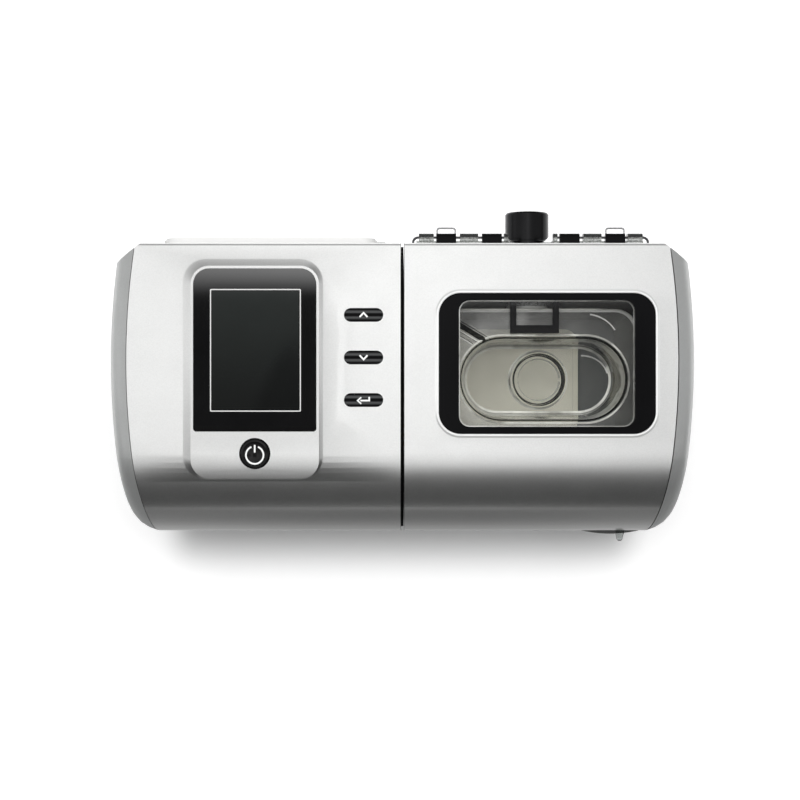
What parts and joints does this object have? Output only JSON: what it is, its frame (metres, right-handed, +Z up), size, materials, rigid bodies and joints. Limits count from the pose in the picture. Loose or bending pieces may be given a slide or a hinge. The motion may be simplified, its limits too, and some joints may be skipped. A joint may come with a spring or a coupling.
{
  "type": "bilevel breathing machine with humidifier",
  "caption": "Table-top bilevel positive airway pressure machine: blower unit with display and keys, docked to a heated humidifier with a hinged window lid and rear air outlet.",
  "frame": {"origin": "on the table plane, under the centre of the whole bounding box", "axes": "+Z up; +Y to the rear, where the air outlet is; +X to the right, from the blower unit to the humidifier"},
  "size_m": [0.2872, 0.1672, 0.1136],
  "materials": {
    "pearl_white": "pearl-white clear-coated moulding",
    "light_grey": "fine-textured grey moulding",
    "satin_silver": "satin silver-grey lacquer",
    "black_glass": "glossy black display glass",
    "lcd": "dark grey-green liquid crystal module",
    "black_key": "glossy black key cap",
    "silicone": "translucent silicone",
    "board": "green solder mask",
    "steel": "plated steel",
    "grey_plastic": "dark grey moulding",
    "white_plastic": "white moulding",
    "motor_can": "coated steel can",
    "black_rubber": "black rubber",
    "foam": "open-cell foam",
    "filter_felt": "pale filter felt",
    "black_plastic": "black moulding",
    "brass_pins": "gold-flashed contacts",
    "aluminium_plate": "satin aluminium",
    "clear_plastic": "clear moulding",
    "gloss_black": "glossy black frame",
    "dark_plastic": "dark grey moulding"
  },
  "bodies": {
    "main_unit": {"blower_cover": "pearl_white", "blower_base": "light_grey", "left_end_panel": "satin_silver", "display_glass": "black_glass", "lcd_module": "lcd", "keypad_membrane": "silicone", "control_board": "board", "board_screws": "steel", "fan_housing": "grey_plastic", "fan_housing_cover": "grey_plastic", "fan_motor": "motor_can", "rubber_mounts": "black_rubber", "mount_screws": "steel", "port_bellows": "silicone", "silencer_foam": "foam", "air_filter": "filter_felt", "filter_latch": "black_plastic", "power_socket": "black_plastic", "blower_screws": "steel", "blower_feet": "black_rubber", "dock_plug": "black_plastic", "dock_pins": "brass_pins"},
    "power_button": {"power_button": "black_key"},
    "key_up": {"key_up": "black_key"},
    "key_down": {"key_down": "black_key"},
    "key_enter": {"key_enter": "black_key"},
    "fan": {"fan_wheel": "white_plastic", "motor_shaft": "steel"},
    "filter_cover": {"filter_cover": "pearl_white"},
    "humidifier": {"dock_socket": "black_plastic", "humidifier_base": "light_grey", "humidifier_screws": "steel", "humidifier_feet": "black_rubber", "right_end_panel": "satin_silver", "tank_tray": "grey_plastic", "heater_plate": "aluminium_plate", "heater_pad": "silicone", "water_tank": "clear_plastic", "tank_plate": "aluminium_plate", "tank_seal": "silicone", "tank_cover": "clear_plastic", "tank_clip": "black_plastic", "hinge_rail": "clear_plastic", "outlet_seal": "silicone", "outlet_tube": "black_plastic", "hinge_pin": "steel", "finger_lip": "dark_plastic"},
    "fill_cap": {"fill_cap": "clear_plastic", "cap_seal": "silicone"},
    "lid": {"wire_loops": "steel", "lid_shell": "pearl_white", "lid_frame": "gloss_black", "window_pane": "clear_plastic", "lid_screws": "steel", "latch_pin": "steel"},
    "lid_latch": {"lid_latch": "clear_plastic"}
  },
  "joints": [
    {"name": "humidifier_dock", "type": "slide", "parent": "main_unit", "child": "humidifier", "axis": [1, 0, 0], "range_m": [0, 0.03]},
    {"name": "lid_hinge", "type": "hinge", "parent": "humidifier", "child": "lid", "pos_m": [0.06317, 0.0692, 0.101], "axis": [-1, 0, 0], "range_deg": [0, 95]},
    {"name": "lid_latch", "type": "hinge", "parent": "lid", "child": "lid_latch", "pos_m": [0.112, -0.0723, 0.072], "axis": [1, 0, 0], "range_deg": [0, 8], "stiffness_Nm_per_rad": 0.2},
    {"name": "power_button", "type": "slide", "parent": "main_unit", "child": "power_button", "axis": [0, 0, -1], "range_m": [0, 0.0008], "stiffness_N_per_m": 1200},
    {"name": "key_up", "type": "slide", "parent": "main_unit", "child": "key_up", "axis": [0, 0, -1], "range_m": [0, 0.0008], "stiffness_N_per_m": 1200},
    {"name": "key_down", "type": "slide", "parent": "main_unit", "child": "key_down", "axis": [0, 0, -1], "range_m": [0, 0.0008], "stiffness_N_per_m": 1200},
    {"name": "key_enter", "type": "slide", "parent": "main_unit", "child": "key_enter", "axis": [0, 0, -1], "range_m": [0, 0.0008], "stiffness_N_per_m": 1200},
    {"name": "fan_spin", "type": "hinge", "parent": "main_unit", "child": "fan", "pos_m": [-0.07003, -0.02294, 0.062], "axis": [0, 0, 1], "continuous": true},
    {"name": "filter_cover", "type": "slide", "parent": "main_unit", "child": "filter_cover", "axis": [0, 1, 0], "range_m": [0, 0.012]},
    {"name": "fill_cap_turn", "type": "hinge", "parent": "humidifier", "child": "fill_cap", "pos_m": [0.07037, -0.00048, 0.062], "axis": [0, 0, 1], "range_deg": [0, 90]}
  ]
}
